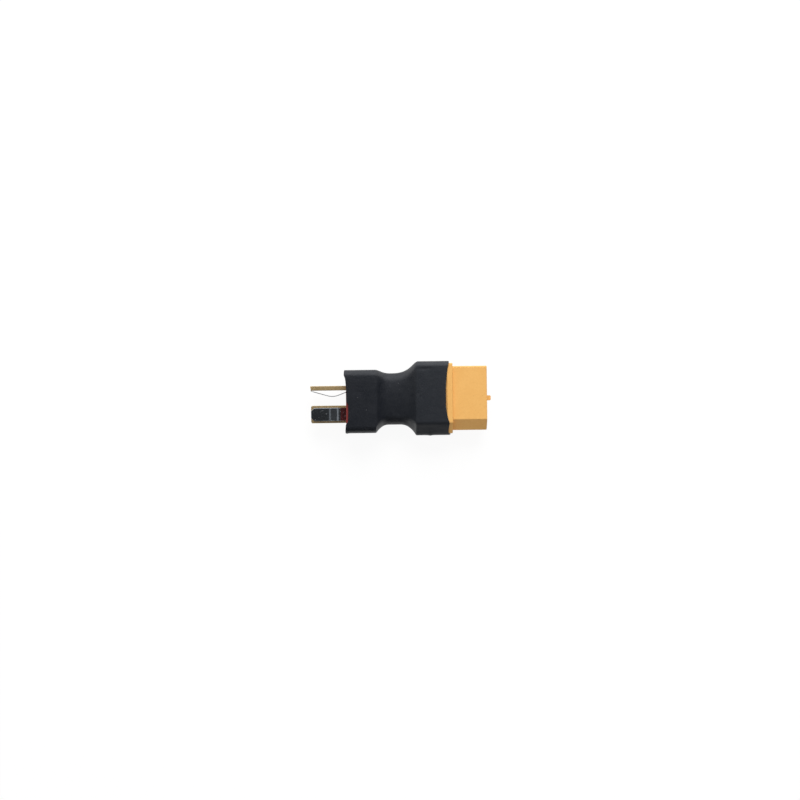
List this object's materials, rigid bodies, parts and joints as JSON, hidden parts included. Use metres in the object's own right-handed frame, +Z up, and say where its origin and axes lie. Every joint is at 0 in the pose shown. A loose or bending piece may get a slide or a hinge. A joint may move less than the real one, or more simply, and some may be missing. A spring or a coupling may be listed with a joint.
{
  "type": "battery connector adapter",
  "caption": "Battery connector adapter: a sprung two-blade plug and a keyed two-socket plug soldered back to back inside a black shrunk sleeve.",
  "frame": {"origin": "middle of the whole adapter, on the surface that it lies on with a broad side down", "axes": "+X along the connector axis towards the sockets, +Y towards the square, positive side of the socket housing, +Z up from the lower broad side"},
  "size_m": [0.0412, 0.0169, 0.0087],
  "materials": {
    "yellow_nylon": "fine satin, as moulded",
    "red_nylon": "fine satin, as moulded",
    "gold_plated_contact": "turned and gold plated",
    "gold_plated_blade": "stamped and thinly plated",
    "spring_steel": "polished",
    "solder": "dull bright",
    "black_shrink_tube": "satin, shrunk"
  },
  "bodies": {
    "root": {"socket_housing": "yellow_nylon", "socket_contact_positive": "gold_plated_contact", "socket_contact_negative": "gold_plated_contact", "blade_housing": "red_nylon", "upright_blade": "gold_plated_blade", "flat_blade": "gold_plated_blade", "upright_leaf_spring": "spring_steel", "flat_leaf_spring": "spring_steel", "solder_joint_positive": "solder", "solder_joint_negative": "solder", "shrink_sleeve": "black_shrink_tube"}
  },
  "joints": []
}
